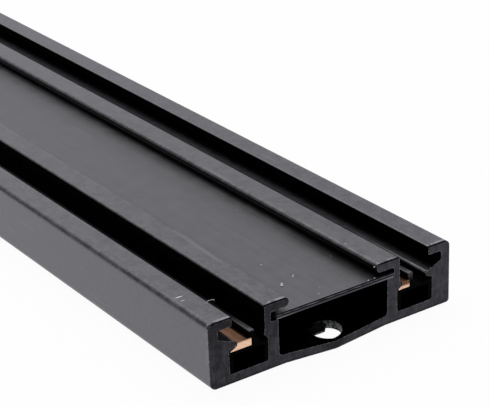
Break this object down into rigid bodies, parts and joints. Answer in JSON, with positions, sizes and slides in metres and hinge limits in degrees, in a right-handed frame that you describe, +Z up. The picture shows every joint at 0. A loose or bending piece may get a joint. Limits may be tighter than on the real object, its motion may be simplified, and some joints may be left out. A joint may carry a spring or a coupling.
{
  "type": "magnetic lighting track",
  "caption": "Slim black surface-mounted magnetic lighting track: an aluminium extrusion with a steel strip in its tray and an insulated copper conductor in each groove.",
  "frame": {"origin": "on the flat mounting face, in the middle of the section, at the middle of the length", "axes": "+Z up, out of the mounting face towards the grooves; +Y along the track, away from the pictured end; +X across it"},
  "size_m": [0.026, 1, 0.0066],
  "materials": {
    "black_aluminium": "satin",
    "black_steel": "satin",
    "black_plastic": "matte",
    "copper": "satin"
  },
  "bodies": {
    "root": {"track_profile": "black_aluminium", "steel_strip": "black_steel", "insulator_left": "black_plastic", "insulator_right": "black_plastic", "conductor_left": "copper", "conductor_right": "copper"}
  },
  "joints": []
}
